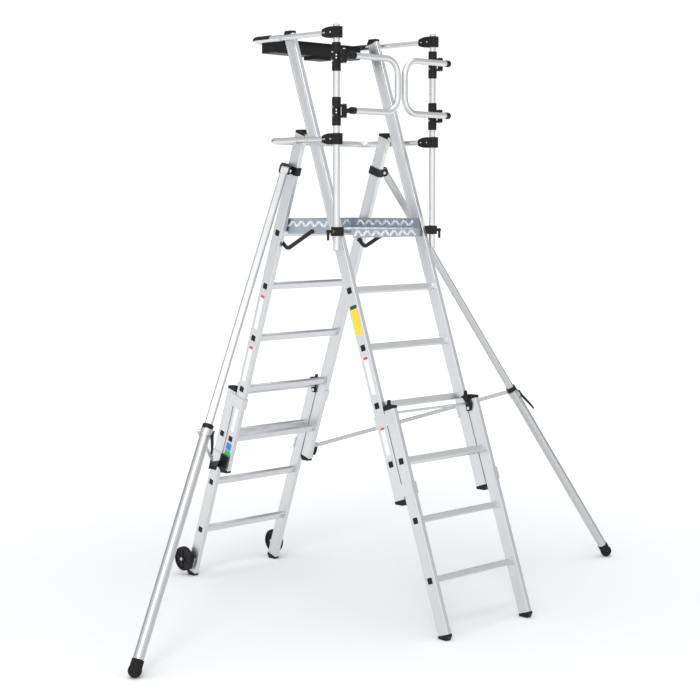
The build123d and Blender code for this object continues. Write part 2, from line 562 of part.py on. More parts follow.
anchor += rbox(HALF + 6, HALF + 14, -20, 60, s_b - 46, s_b - 25)
anchor += rbox(HALF, HALF + 6.5, -20, 30, UP_END + 70, s_b + 30)
anchor -= rbox(XI - 75, HALF, -60, 120, s_b - 80, s_b + 80)
anchor -= rbox(XI - 75, HALF + FREE, CAP_HALF + 1, 160, s_b - 80, s_b + 80)
wheel_u = to_us(-WHEEL_Y, WHEEL_Z)[0] - WHEEL_R     # the wheel passes here when its section slides up
anchor -= rbox(XI - 75, HALF + 80, wheel_u + 1.5, 250, s_b - 80, s_b + 80)
anchor -= spin_rod(folded, EAR_H0 - 5, EAR_H1 + 5, 0, STRUT_T, 5.0)
anchor_pin = spin_rod(folded, ANCHOR_H - 3.5, EAR_H1 + 1, 0, STRUT_T, 5.0)
anchor_pin += spin_rod(folded, EAR_H1, EAR_H1 + 5, 0, STRUT_T, 8.5)
save("stabiliser_mounts", both(band + fork), both(anchor))
save("rear_bolts", both(pin), both(anchor_pin), both(link_pin))

INNER_END = 1478.0
inner = stab * Pos(0, 0, 26) * extrude(
    RectangleRounded(STAB_IN, STAB_IN, 9) - RectangleRounded(STAB_IN - 4, STAB_IN - 4, 7), INNER_END - 26)
head = spin_rod(stab, -STAB_IN / 2, STAB_IN / 2, 0, 0, 17.0) + sbox(-18, 18, -17, 17, 0, 26)
head += stab * Pos(0, 0, 26) * extrude(RectangleRounded(STAB_IN - 4.2, STAB_IN - 4.2, 6.9), 20)
head -= spin_rod(stab, -30, 30, 0, 0, 5.0 + RUN)
OUT_END = STAB_L - 22.0
outer = stab * Pos(0, 0, STAB_COLLAR - 4) * (
    Pos(0, 0, (OUT_END - STAB_COLLAR + 4) / 2) * Cylinder(STAB_OUT_R, OUT_END - STAB_COLLAR + 4)
    - Pos(0, 0, (OUT_END - STAB_COLLAR + 4) / 2) * Cylinder(STAB_OUT_R - 2, OUT_END - STAB_COLLAR + 10))
sleeve = stab * Pos(0, 0, STAB_COLLAR - 26) * (
    extrude(Circle(STAB_OUT_R + 2) - RectangleRounded(STAB_IN + 1, STAB_IN + 1, 9.5), 22))
collar = stab * Pos(0, 0, STAB_COLLAR + 16) * (Cylinder(STAB_OUT_R + 4, 34)
                                               - Cylinder(STAB_OUT_R + 0.03, 40))
collar += spin_rod(stab, STAB_OUT_R + 2, ANCHOR_H - 3.4, 0, STAB_COLLAR + 12, 11)
ang = math.radians(135 if OUT > 0 else -135)      # clamp ears look outward and forward
ex, ey = math.cos(ang), math.sin(ang)
ears = Pos(0, 0, 0) * box(STAB_OUT_R, STAB_OUT_R + 24, -9, 9, STAB_COLLAR + 2, STAB_COLLAR + 30)
ears -= box(STAB_OUT_R + 6, STAB_OUT_R + 30, -4.5, 4.5, STAB_COLLAR - 4, STAB_COLLAR + 40)
turn = Rot(0, 0, math.degrees(ang))
ears = stab * turn * ears
ears -= stab * Cylinder(STAB_OUT_R + 0.03, 6000)
cam_c = STAB_COLLAR + 16
cam_pin = turn * Pos(STAB_OUT_R + 17, 0, cam_c) * Rot(90, 0, 0) * Cylinder(3.0, 24)
ears -= stab * cam_pin
collar = collar + ears
foot = stab * (Pos(0, 0, OUT_END - 6) * Cylinder(27.0, 36) + Pos(0, 0, STAB_L) * Sphere(30.0)
               - Pos(0, 0, OUT_END - 30) * Cylinder(STAB_OUT_R + 0.03, 60))
foot -= box(-5000, 5000, -5000, 5000, -200, 0)
r0 = STAB_OUT_R + 17
pts = [(0, -7), (8, 0), (16, 24), (27, 52), (36, 84), (40, 108), (34, 108), (27, 84), (15, 54),
       (3, 26), (-7, 6)]
blade = Polygon(*pts, align=None)
blade = Plane.XZ * blade
blade = extrude(blade, 3.8, both=True) + Rot(90, 0, 0) * Cylinder(7.0, 7.6)
blade -= Rot(90, 0, 0) * Cylinder(3.0 + RUN, 30)
blade = stab * turn * Pos(r0, 0, cam_c) * blade

ANCHOR = P + T * STRUT_T + H * ANCHOR_H
COLLAR_PT = P + D * (STAB_COLLAR + 12) + H * ANCHOR_H
STRUT_D = (COLLAR_PT - ANCHOR).normalized()
STRUT_L = (COLLAR_PT - ANCHOR).length
strut_loc = Plane(origin=ANCHOR, x_dir=H, z_dir=STRUT_D).location
strut = strut_loc * (box(-2.5, 2.5, -10, 10, 0, STRUT_L))
strut += spin_rod(strut_loc, -2.5, 2.5, 0, 0, 10) + spin_rod(strut_loc, -2.5, 2.5, 0, STRUT_L, 10)
strut -= spin_rod(strut_loc, -10, 10, 0, 0, 5.0 + RUN)
strut += spin_rod(strut_loc, 2.4, 6.5, 0, STRUT_L, 7.5)

for name, f in (("right", lambda o: o), ("left", left)):
    save(f"stabiliser_inner_{name}", f(inner), f(head))
    save(f"stabiliser_outer_{name}", f(outer))
    save(f"stabiliser_sleeve_{name}", f(sleeve))
    save(f"stabiliser_collar_{name}", f(collar), f(stab * cam_pin))
    save(f"stabiliser_foot_{name}", f(foot))
    save(f"stabiliser_strut_{name}", f(strut))
    save(f"cam_lever_{name}", f(blade))

# ---------------------------------------------------------------- transport wheels
wu, ws = to_us(-WHEEL_Y, WHEEL_Z)
plate = us_plate([(60, ws + 26), (wu + 4, ws + 12), (wu + 12, ws), (wu + 4, ws - 12), (60, ws - 40)],
                 HALF, HALF + 3, 3)
plate = mirror(plate, about=Plane.XZ)
WX0 = HALF + 8.0
DISH = 5.0
plate += xpin(HALF + 2, WX0 - FREE, WHEEL_Y, WHEEL_Z, 9.0)
axle = xpin(HALF + 2, WX0 + WHEEL_W + 5, WHEEL_Y, WHEEL_Z, 5.0)
axle += xpin(WX0 + WHEEL_W + FREE, WX0 + WHEEL_W + 6, WHEEL_Y, WHEEL_Z, 8.0)
save("wheel_brackets", both(plate + axle))
wheel = xpin(WX0, WX0 + WHEEL_W, WHEEL_Y, WHEEL_Z, WHEEL_R)
wheel = fillet(wheel.edges().filter_by(GeomType.CIRCLE), 6)
for a in (WX0, WX0 + WHEEL_W):
    s = 1 if a == WX0 else -1
    lo, hi = sorted((a - s, a + s * DISH))
    wheel -= xpin(lo, hi, WHEEL_Y, WHEEL_Z, WHEEL_R - 12) - xpin(lo, hi, WHEEL_Y, WHEEL_Z, 16)
for i in range(6):
    a = math.radians(60 * i)
    for x0 in (WX0 + 1.0, WX0 + WHEEL_W - DISH - 1.0):
        rib = Pos(x0 + DISH / 2, 0, 34) * Box(DISH, 5, 40)
        wheel += Pos(0, WHEEL_Y, WHEEL_Z) * Rot(math.degrees(a), 0, 0) * rib
wheel -= xpin(WX0 - 5, WX0 + WHEEL_W + 5, WHEEL_Y, WHEEL_Z, 5.0 + RUN)
save("wheel_right", wheel)
save("wheel_left", left(wheel))

# ---------------------------------------------------------------- origin in the middle of the footprint
boxes = [p.bounding_box() for p in pieces.values()]
PLAN_Y = (min(b.min.Y for b in boxes) + max(b.max.Y for b in boxes)) / 2
for name, whole in pieces.items():
    export_step(whole.moved(Location((0, -PLAN_Y, 0))), f"parts/{name}.step")
print(len(pieces), "nodes; moved by", round(PLAN_Y, 4), "from the plane midway between the ladders")
print("stabiliser opens", round(OPEN, 2), "degrees, leg", round(STAB_L, 1), "strut", round(STRUT_L, 1))
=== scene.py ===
# %% [markdown]
# # A folding work platform in satin aluminium
# Two telescopic ladders lean together under a tread-plate deck, with a guardrail above it and two long stabiliser
# legs. The shapes come from the CAD frame, so this lesson is about what turns plain parts into a believable
# product: drawn aluminium, five-bar tread plate, moulded plastic, zinc fixings, and the small repeated things.

import json
import math

import bmesh
import bpy
from mathutils import Matrix, Vector


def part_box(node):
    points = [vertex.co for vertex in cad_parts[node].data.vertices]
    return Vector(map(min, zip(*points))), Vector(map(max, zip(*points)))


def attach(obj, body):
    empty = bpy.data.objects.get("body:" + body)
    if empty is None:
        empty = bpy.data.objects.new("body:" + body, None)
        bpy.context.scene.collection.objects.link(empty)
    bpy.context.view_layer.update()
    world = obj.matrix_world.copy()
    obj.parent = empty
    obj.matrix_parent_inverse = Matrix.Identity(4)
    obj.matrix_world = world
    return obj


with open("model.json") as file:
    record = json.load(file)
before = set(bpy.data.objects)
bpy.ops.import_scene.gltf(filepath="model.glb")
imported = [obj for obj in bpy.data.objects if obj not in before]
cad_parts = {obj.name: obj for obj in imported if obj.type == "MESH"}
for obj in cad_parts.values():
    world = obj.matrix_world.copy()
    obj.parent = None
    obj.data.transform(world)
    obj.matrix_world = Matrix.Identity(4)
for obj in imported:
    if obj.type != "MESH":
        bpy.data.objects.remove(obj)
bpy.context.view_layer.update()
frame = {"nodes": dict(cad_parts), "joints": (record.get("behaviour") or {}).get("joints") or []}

# %% [markdown]
# ## Where things are
# Every place is measured on the frame. A CAD node is a soup of triangles, so a copy is merged and split into its
# connected lumps: each rung, bolt or plug is one lump, and its centre and size say where the details go.

# %% Measure the frame
JOINT = {joint["name"]: joint for joint in frame["joints"]}
FRONT_UP = Vector(JOINT["front_section_slide"]["axis"])
REAR_UP = Vector(JOINT["rear_section_slide"]["axis"])
LEAN = math.atan2(FRONT_UP.y, FRONT_UP.z)
MM = 0.001


def lumps(node):
    """The connected lumps of a CAD node, as (centre, size) pairs from low to high."""
    shape = bmesh.new()
    shape.from_mesh(frame["nodes"][node].data)
    bmesh.ops.remove_doubles(shape, verts=shape.verts, dist=1e-6)
    left_over, found = set(shape.verts), []
    while left_over:
        stack, lump = [left_over.pop()], []
        while stack:
            vert = stack.pop()
            lump.append(vert.co.copy())
            for edge in vert.link_edges:
                other = edge.other_vert(vert)
                if other in left_over:
                    left_over.remove(other)
                    stack.append(other)
        low = Vector([min(co[i] for co in lump) for i in range(3)])
        high = Vector([max(co[i] for co in lump) for i in range(3)])
        found.append(((low + high) / 2, high - low))
    shape.free()
    return sorted(found, key=lambda pair: (round(pair[0].z, 4), pair[0].x))


print("ladders lean", round(math.degrees(LEAN), 2), "degrees")

# %% [markdown]
# ## Writing materials as sums
# A node tree is easier to read as arithmetic. `Wire` stands for one output socket and turns + - * into Math nodes.
# `Paint` is one material, and its `add` makes any other node from its type, its settings and its inputs.


# %% Shader helpers
class Wire:
    """An output socket that does sums: each operator adds its Math node."""

    def __init__(self, paint, socket):
        self.paint, self.socket = paint, socket

    def join(self, how, first, second):
        return self.paint.add("ShaderNodeMath", {"operation": how}, {0: first, 1: second})

    def __add__(self, other):
        return self.join("ADD", self, other)

    def __sub__(self, other):
        return self.join("SUBTRACT", self, other)

    def __rsub__(self, other):
        return self.join("SUBTRACT", other, self)

    def __mul__(self, other):
        return self.join("MULTIPLY", self, other)

    __radd__ = __add__
    __rmul__ = __mul__


class Paint:
    """One material. Its shader's sockets are set by name, with a number, a colour or a wire."""

    def __init__(self, name, **sockets):
        self.material = bpy.data.materials.new(name)
        self.material.use_nodes = True
        self.tree = self.material.node_tree
        self.shader = self.tree.nodes["Principled BSDF"]
        self.place = self.add("ShaderNodeTexCoord", {}, {}, "Object")
        self.set(**sockets)

    def add(self, kind, settings, inputs, out=0):
        node = self.tree.nodes.new(kind)
        for key, value in settings.items():
            if key == "stops":
                node.color_ramp.elements[0].position = value[0]
                node.color_ramp.elements[1].position = value[1]
            else:
                setattr(node, key, value)
        for key, value in inputs.items():
            self.feed(node.inputs[key], value)
        return Wire(self, node.outputs[out])

    def feed(self, socket, value):
        if isinstance(value, Wire):
            self.tree.links.new(value.socket, socket)
        else:
            socket.default_value = value

    def set(self, **sockets):
        for key, value in sockets.items():
            self.feed(self.shader.inputs[key.replace("_", " ")], value)

    def grain(self, along, across, turn=0.0, detail=3.0):
        """Noise drawn out along X, or along a direction in the YZ plane when turn says how far it leans."""
        sizes = (1 / along, 1 / across, 1 / across) if turn is None else (1 / across, 1 / across, 1 / along)
        where = self.add("ShaderNodeMapping", {"vector_type": "TEXTURE"},
                         {"Vector": self.place, "Rotation": (-(turn or 0.0), 0, 0),
                          "Scale": tuple(1 / size for size in sizes)})
        scaled = self.add("ShaderNodeTexNoise", {}, {"Vector": where, "Scale": 1.0, "Detail": detail})
        return scaled

    def noise(self, scale, detail=3.0):
        return self.add("ShaderNodeTexNoise", {}, {"Vector": self.place, "Scale": scale, "Detail": detail})

    def ramp(self, value, low, high):
        return self.add("ShaderNodeValToRGB", {"stops": (low, high)}, {"Fac": value})

    def blend(self, factor, first, second):
        return self.add("ShaderNodeMix", {"data_type": "RGBA"}, {0: factor, 6: first, 7: second}, 2)

    def bump(self, height, strength, distance):
        self.feed(self.shader.inputs["Normal"], self.add(
            "ShaderNodeBump", {}, {"Height": height, "Strength": strength, "Distance": distance}))


# %% [markdown]
# ## Satin aluminium
# Ladder sections are extruded and then left mill-bright or lightly anodised. The die leaves faint lines that run
# the length of the bar, so the noise is drawn out along it: X for rungs, Z for posts, and the lean for stiles.
# Broad soft patches make the shine uneven, as handling does, and rare fine scuffs cross the lines.


# %% Aluminium
def satin(name, turn, tone=0.72):
    paint = Paint(name, Metallic=1.0)
    lines = paint.grain(2.0, 1100.0, turn)
    patches = paint.noise(9.0, 2.0)
    scuffs = paint.ramp(paint.grain(60.0, 14.0, turn, 6.0), 0.66, 0.72)
    shade = paint.ramp(lines * 0.6 + patches * 0.4, 0.3, 0.7)
    bright = (tone, tone * 1.006, tone * 1.018, 1)
    dull = (tone * 0.93, tone * 0.938, tone * 0.952, 1)
    colour = paint.blend(shade, dull, bright)
    paint.set(Base_Color=paint.blend(scuffs * 0.25, colour, (tone * 0.8, tone * 0.8, tone * 0.8, 1)))
    paint.set(Roughness=lines * 0.12 + patches * 0.10 + scuffs * 0.08 + 0.24)
    paint.bump(lines + scuffs * 0.3, 0.10, 0.0003)
    return paint.material


FRONT_STILE = satin("satin_front_stile", LEAN)
REAR_STILE = satin("satin_rear_stile", -LEAN)
CROSS_BAR = satin("satin_cross_bar", None)
UPRIGHT = satin("satin_upright", 0.0)
TUBE = satin("satin_tube", math.pi / 2, 0.70)
LEG = satin("satin_leg", 0.0, 0.58)
print("aluminium:", [m.name for m in bpy.data.materials if m.name.startswith("satin")])

# %% [markdown]
# ## Tread plate
# The deck is folded from bright rolled plate. The sheet between the bars is duller and bluish, and the bars are
# polished by shoes, so they are two materials on two pieces.


# %% Tread plate
def plate_sheet():
    paint = Paint("tread_sheet", Metallic=1.0)
    patches = paint.noise(14.0, 4.0)
    fine = paint.noise(420.0, 2.0)
    paint.set(Base_Color=paint.blend(patches, (0.36, 0.40, 0.45, 1), (0.50, 0.54, 0.60, 1)))
    paint.set(Roughness=patches * 0.2 + fine * 0.1 + 0.26)
    paint.bump(fine, 0.15, 0.0004)
    return paint.material


def plate_bar():
    paint = Paint("tread_bar", Metallic=0.6)
    worn = paint.ramp(paint.noise(60.0, 4.0), 0.4, 0.62)
    paint.set(Base_Color=paint.blend(worn, (0.62, 0.66, 0.71, 1), (0.86, 0.88, 0.90, 1)))
    paint.set(Roughness=0.52 - worn * 0.12)
    paint.bump(paint.noise(500.0, 2.0), 0.1, 0.0003)
    return paint.material


TREAD_SHEET, TREAD_BAR = plate_sheet(), plate_bar()

# %% [markdown]
# ## Moulded plastic, rubber and powder coat
# Black mouldings are never one flat black. A spark-eroded mould leaves a fine grain, flow marks change the shine
# slowly, and dust and handling lift the colour a little in places.


# %% Blacks and greys
def moulded(name, colour, lift, rough, grain=700.0, depth=0.00025):
    paint = Paint(name, Specular_IOR_Level=0.22)
    skin = paint.noise(grain, 2.0)
    flow = paint.noise(22.0, 4.0)
    dust = paint.ramp(paint.noise(75.0, 6.0), 0.52, 0.78)
    pale = tuple(c + lift for c in colour)
    paint.set(Base_Color=paint.blend(dust * 0.5 + flow * 0.2, (*colour, 1), (*pale, 1)))
    paint.set(Roughness=flow * 0.16 + dust * 0.12 + (rough - 0.08))
    paint.bump(skin + flow * 0.2, 0.25, depth)
    return paint.material


BLACK = moulded("black_moulding", (0.006, 0.006, 0.007), 0.010, 0.40)
TRAY = moulded("tray_moulding", (0.007, 0.007, 0.008), 0.010, 0.5, 950.0, 0.0004)
GREY = moulded("grey_moulding", (0.42, 0.43, 0.45), 0.05, 0.42)
WHEEL = moulded("wheel_moulding", (0.007, 0.007, 0.008), 0.014, 0.48)
RUBBER = moulded("sole_rubber", (0.009, 0.009, 0.009), 0.014, 0.78, 380.0, 0.0006)


def powder_coat():
    paint = Paint("black_powder_coat", Coat_Roughness=0.3, Specular_IOR_Level=0.25)
    peel = paint.noise(260.0, 2.0)
    flow = paint.noise(30.0, 3.0)
    paint.set(Base_Color=paint.blend(flow, (0.006, 0.006, 0.007, 1), (0.013, 0.013, 0.014, 1)))
    paint.set(Roughness=peel * 0.10 + flow * 0.08 + 0.30)
    paint.set(Coat_Weight=0.1)
    paint.bump(peel, 0.3, 0.0004)
    return paint.material


def zinc():
    paint = Paint("zinc_plate", Metallic=1.0)
    spangle = paint.add("ShaderNodeTexVoronoi", {}, {"Vector": paint.place, "Scale": 260.0}, "Distance")
    film = paint.noise(40.0, 3.0)
    paint.set(Base_Color=paint.blend(film, (0.62, 0.60, 0.55, 1), (0.80, 0.78, 0.72, 1)))
    paint.set(Roughness=spangle * 0.18 + film * 0.12 + 0.22)
    paint.bump(spangle, 0.12, 0.0002)
    return paint.material


POWDER, ZINC = powder_coat(), zinc()
print(len(bpy.data.materials), "materials so far")

# %% [markdown]
# ## Dress the CAD parts
# A CAD node whose shape is right only needs its finish, so this table gives each name pattern a material. The
# first pattern that fits wins.

# %% Finishes by name
FINISH = [
    ("front_upper_stiles", FRONT_STILE), ("front_lower_stiles", FRONT_STILE),
    ("rear_upper_stiles", REAR_STILE), ("rear_lower_stiles", REAR_STILE),
    ("rungs", CROSS_BAR), ("guides", FRONT_STILE), ("guard_posts", UPRIGHT), ("rail_side_tubes", TUBE),
    ("u_rail", TUBE), ("gate_loop", TUBE), ("lock_bar", CROSS_BAR), ("stabiliser_inner", LEG),
    ("stabiliser_outer", LEG), ("stabiliser_strut", LEG), ("platform_deck", TREAD_SHEET),
    ("toe_boards", TREAD_SHEET), ("tool_tray", TRAY), ("post_end_plugs", GREY), ("wheel_brackets", UPRIGHT),
    ("wheel_", WHEEL), ("stabiliser_foot", RUBBER), ("stabiliser_collar", LEG), ("stabiliser_mounts", POWDER),
    ("platform_links", POWDER),
    ("bolts", ZINC), ("hinge_", ZINC), ("", BLACK)]
for name, node in frame["nodes"].items():
    finish = next(material for pattern, material in FINISH if pattern in name)
    node.data.materials.clear()
    node.data.materials.append(finish)
print("finished", len(frame["nodes"]), "CAD nodes")

# %% [markdown]
# ## Growing what repeats
# Rivets, ribs and tread bars are all one small shape many times over. A Geometry Nodes tree puts the shape on the
# points of a base mesh, and `grow` keeps the result as a plain mesh, because an export drops instances.


# %% Geometry Nodes helpers
class Tree:
    """A Geometry Nodes tree with named inputs."""

    def __init__(self, name, **inputs):
        self.group = bpy.data.node_groups.new(name, "GeometryNodeTree")
        for label, (kind, value) in {"Base": ("Geometry", None), **inputs}.items():
            socket = self.group.interface.new_socket(label.replace("_", " "), in_out="INPUT",
                                                     socket_type="NodeSocket" + kind)
            if value is not None:
                socket.default_value = value
        self.group.interface.new_socket("Result", in_out="OUTPUT", socket_type="NodeSocketGeometry")
        self.start = self.group.nodes.new("NodeGroupInput")
        self.end = self.group.nodes.new("NodeGroupOutput")

    def input(self, label):
        return self.start.outputs[label]

    def add(self, kind, settings, inputs, out=0):
        node = self.group.nodes.new("GeometryNode" + kind if not kind.startswith(("Shader", "Function")) else kind)
        for key, value in settings.items():
            setattr(node, key, value)
        for key, value in inputs.items():
            if isinstance(value, bpy.types.NodeSocket):
                self.group.links.new(value, node.inputs[key])
            else:
                node.inputs[key].default_value = value
        return node.outputs[out]

    def sum(self, how, first, second=0.0):
        return self.add("ShaderNodeMath", {"operation": how}, {0: first, 1: second})

    def vector(self, x=0.0, y=0.0, z=0.0):
        return self.add("ShaderNodeCombineXYZ", {}, {"X": x, "Y": y, "Z": z})

    def close(self, instances):
        """Realize the instances, give them their finish, and end the tree."""
        solid = self.add("RealizeInstances", {}, {"Geometry": instances})
        painted = self.add("SetMaterial", {}, {"Geometry": solid, "Material": self.input("Finish")})
        self.group.links.new(painted, self.end.inputs["Result"])


def keep(name, mesh, body, smooth=True):
    """A finished mesh becomes a piece of the object."""
    piece = bpy.data.objects.new(name, mesh)
    bpy.context.scene.collection.objects.link(piece)
    mesh.polygons.foreach_set("use_smooth", [smooth] * len(mesh.polygons))
    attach(piece, body)
    return piece


def grow(name, base, tree, body, slot, place=Matrix.Identity(4), **inputs):
    """Run a tree on a base mesh and keep the result as a plain mesh."""
    grower = bpy.data.objects.new("grower", base)
    bpy.context.scene.collection.objects.link(grower)
    modifier = grower.modifiers.new("grow", "NODES")
    modifier.node_group = tree.group
    for item in tree.group.interface.items_tree:
        key = item.name.replace(" ", "_")
        if item.in_out == "INPUT" and key in inputs:
            modifier[item.identifier] = inputs[key]
    evaluated = grower.evaluated_get(bpy.context.evaluated_depsgraph_get())
    mesh = bpy.data.meshes.new_from_object(evaluated)
    bpy.data.objects.remove(grower)
    mesh.transform(place)
    print(f"{name}: {len(mesh.polygons)} faces")
    return keep(name, mesh, body)


def cloud(points, facing=None):
    """A base mesh of loose points, each with the direction that it faces."""
    mesh = bpy.data.meshes.new("cloud")
    mesh.from_pydata([tuple(p) for p in points], [], [])
    if facing:
        attribute = mesh.attributes.new("facing", "FLOAT_VECTOR", "POINT")
        attribute.data.foreach_set("vector", [c for f in facing for c in f])
    return mesh


# %% [markdown]
# ## Five-bar tread
# Rolled plate has short raised bars that alternate in direction. A grid of points holds them; the row and column
# of each point are summed, and an odd sum turns the bar a quarter turn. Each bar is a low block with sloping
# flanks, and its top is rolled a few degrees off level, so the two directions catch the light differently.

# %% The tread tree
tread = Tree("tread bars", Width=("Float", 0.5), Length=("Float", 0.4), Columns=("Int", 16), Rows=("Int", 14),
             Bar_Length=("Float", 0.040), Bar_Width=("Float", 0.015), Bar_Height=("Float", 0.0032),
             Finish=("Material", None))
grid = tread.add("MeshGrid", {}, {
    "Size X": tread.input("Width"), "Size Y": tread.input("Length"),
    "Vertices X": tread.input("Columns"), "Vertices Y": tread.input("Rows")})
index = tread.add("InputIndex", {}, {})
column = tread.sum("FLOOR", tread.sum("DIVIDE", index, tread.input("Rows")))
row = tread.sum("MODULO", index, tread.input("Rows"))
odd = tread.sum("MODULO", tread.sum("ADD", column, row), 2.0)
angle = tread.sum("ADD", tread.sum("MULTIPLY", odd, math.pi / 2), math.pi / 4)
bar = tread.add("MeshCone", {"fill_type": "NGON"}, {
    "Vertices": 4, "Radius Top": 0.54, "Radius Bottom": 0.707, "Depth": 1.0})
square = tread.add("Transform", {}, {"Geometry": bar, "Translation": (0, 0, -0.3), "Rotation": (0, 0, math.pi / 4)})
flat = tread.add("Transform", {}, {"Geometry": square, "Scale": tread.vector(
    tread.input("Bar Length"), tread.input("Bar Width"), tread.input("Bar Height"))})
lozenge = tread.add("Transform", {}, {"Geometry": flat, "Rotation": (math.radians(3), 0, 0)})
tread.close(tread.add("InstanceOnPoints", {}, {
    "Points": grid, "Instance": lozenge, "Rotation": tread.vector(z=angle)}))

# %% Tread on the deck, its front lip and the toe boards
deck_low, deck_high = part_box("platform_deck")
toe_low, toe_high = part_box("toe_boards")
PITCH = 31 * MM
deck_y0, deck_y1 = toe_low.y, toe_high.y
deck_mid = Vector((0, (deck_y0 + deck_y1) / 2, deck_high.z))


def tread_patch(name, across, length, place, body="platform"):
    """A patch of bars, as many as fit with a margin, laid by a matrix."""
    columns, rows = max(1, int(across / PITCH)), max(1, int(length / PITCH))
    return grow(name, bpy.data.meshes.new("empty"), tread, body, "tread_plate", place,
                Width=(columns - 1) * PITCH, Length=max((rows - 1) * PITCH, 1e-4), Columns=columns, Rows=rows,
                Finish=TREAD_BAR)


inside = 2 * deck_high.x - 16 * MM
tread_patch("deck_tread", inside, deck_y1 - deck_y0 - 10 * MM, Matrix.Translation(deck_mid))
LIP_WIDTH, LIP_HEIGHT, LIP_SHIFT = 0.455, 0.040, 0.012
lip_mid = Vector((LIP_SHIFT, deck_low.y, deck_high.z - LIP_HEIGHT / 2))
to_front = Matrix.Rotation(math.pi / 2, 4, "X")
tread_patch("lip_tread", LIP_WIDTH, LIP_HEIGHT, Matrix.Translation(lip_mid) @ to_front)
toe_height = toe_high.z - toe_low.z
TOE_THICK = 2.5 * MM
rear_mid = Vector((0, toe_high.y - TOE_THICK, toe_low.z + toe_height / 2))
tread_patch("toe_rear_tread", inside, toe_height, Matrix.Translation(rear_mid) @ to_front)
rear_back = Matrix.Translation(rear_mid + Vector((0, TOE_THICK, 0))) @ Matrix.Rotation(math.pi, 4, "Z") @ to_front
tread_patch("toe_back_tread", inside, toe_height, rear_back)
for side, name in ((-1, "left"), (1, "right")):
    for face, way in ((0.0, 1), (TOE_THICK, -1)):
        spot = Vector((side * (toe_high.x - face), deck_mid.y + 12 * MM, toe_low.z + toe_height / 2))
        turn = Matrix.Rotation(side * way * math.pi / 2, 4, "Z") @ to_front
        which = "outer" if way == 1 else "inner"
        tread_patch(f"toe_{name}_{which}_tread", deck_y1 - deck_y0 - 40 * MM, toe_height,
                    Matrix.Translation(spot) @ turn)

# %% [markdown]
# ## Grip ribs on the rungs
# The top of each rung is ribbed along its length for grip. One tree makes a small comb of half-sunk wires and
# puts it on each rung, and the comb leans with the ladder.

# %% The rib tree
comb = Tree("rib comb", Count=("Int", 6), Spacing=("Float", 0.004), Length=("Float", 0.5),
            Radius=("Float", 0.0008), Tilt=("Float", 0.0), Finish=("Material", None))
gap = comb.input("Spacing")
first = comb.sum("MULTIPLY", comb.sum("MULTIPLY", comb.sum("SUBTRACT", comb.input("Count"), 1.0), gap), -0.5)
row = comb.add("MeshLine", {"mode": "OFFSET"}, {
    "Count": comb.input("Count"), "Start Location": comb.vector(y=first), "Offset": comb.vector(y=gap)})
wire = comb.add("MeshCylinder", {"fill_type": "NGON"}, {
    "Vertices": 8, "Radius": comb.input("Radius"), "Depth": comb.input("Length")})
lying = comb.add("Transform", {}, {"Geometry": wire, "Rotation": (0, math.pi / 2, 0)})
teeth = comb.add("InstanceOnPoints", {}, {"Points": row, "Instance": lying})
tilted = comb.add("Transform", {}, {"Geometry": teeth, "Rotation": comb.vector(x=comb.input("Tilt"))})
comb.close(comb.add("InstanceOnPoints", {}, {"Points": comb.input("Base"), "Instance": tilted}))

# %% Ribs on every rung
RUNG_HALF = 15 * MM
stile_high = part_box("front_upper_stiles")[1]
STILE_WIDTH = 25 * MM
clear_span = 2 * (stile_high.x - STILE_WIDTH) - 4 * MM
for node, body, up, lean in (
        ("front_upper_rungs", "main", FRONT_UP, LEAN), ("front_lower_rungs", "front_lower", FRONT_UP, LEAN),
        ("rear_upper_rungs", "rear_upper", REAR_UP, -LEAN), ("rear_lower_rungs", "rear_lower", REAR_UP, -LEAN)):
    centres = [centre for centre, size in lumps(node)]
    tops = [centre + up * (RUNG_HALF - 0.2 * MM) for centre in centres]
    grow(node.replace("rungs", "rung_ribs"), cloud(tops), comb, body, "aluminium", Count=5, Spacing=4.2 * MM,
         Length=clear_span, Radius=0.9 * MM, Tilt=-lean, Finish=CROSS_BAR)

# %% [markdown]
# ## Rivets and screws
# Every moulding is held by small fixings, and their highlights are what the eye reads as hardware. Two heads are
# modelled once, a domed rivet and a screw with a cross recess, and a tree puts them where they face outwards.


# %% Two heads, modelled once
def domed_head(name, radius, height, recess):
    """A lathed head on the XY plane. With a recess, a cross is sunk into its top."""
    shape = bmesh.new()
    rings, steps = 4, 20
    centre = shape.verts.new((0, 0, height))
    previous = None
    for ring in range(1, rings + 1):
        angle = ring / rings * math.pi / 2
        loop = []
        for step in range(steps):
            turn = 2 * math.pi * step / steps
            reach = radius * math.sin(angle)
            drop = height * math.cos(angle)
            if recess and ring == 1 and step % 5 != 0:
                drop *= 0.25
            loop.append(shape.verts.new((reach * math.cos(turn), reach * math.sin(turn), drop)))
        if previous is None:
            for a, b in zip(loop, loop[1:] + loop[:1]):
                shape.faces.new((centre, a, b))
            if recess:
                centre.co.z = height * 0.2
        else:
            for i in range(steps):
                j = (i + 1) % steps
                shape.faces.new((previous[i], loop[i], loop[j], previous[j]))
        previous = loop
    shape.faces.new(list(reversed(previous)))
    bmesh.ops.recalc_face_normals(shape, faces=shape.faces)
    mesh = bpy.data.meshes.new(name)
    shape.to_mesh(mesh)
    shape.free()
    model = bpy.data.objects.new(name, mesh)
    bpy.context.scene.collection.objects.link(model)
    return model


RIVET = domed_head("rivet_model", 4.2 * MM, 1.8 * MM, False)
SCREW = domed_head("screw_model", 4.0 * MM, 2.2 * MM, True)

heads = Tree("heads", Head=("Object", None), Finish=("Material", None))
facing = heads.add("InputNamedAttribute", {"data_type": "FLOAT_VECTOR"}, {"Name": "facing"})
turned = heads.add("FunctionNodeAlignRotationToVector", {"axis": "Z"}, {"Vector": facing})
model = heads.add("ObjectInfo", {}, {"Object": heads.input("Head")}, "Geometry")
heads.close(heads.add("InstanceOnPoints", {}, {
    "Points": heads.input("Base"), "Instance": model, "Rotation": turned}))


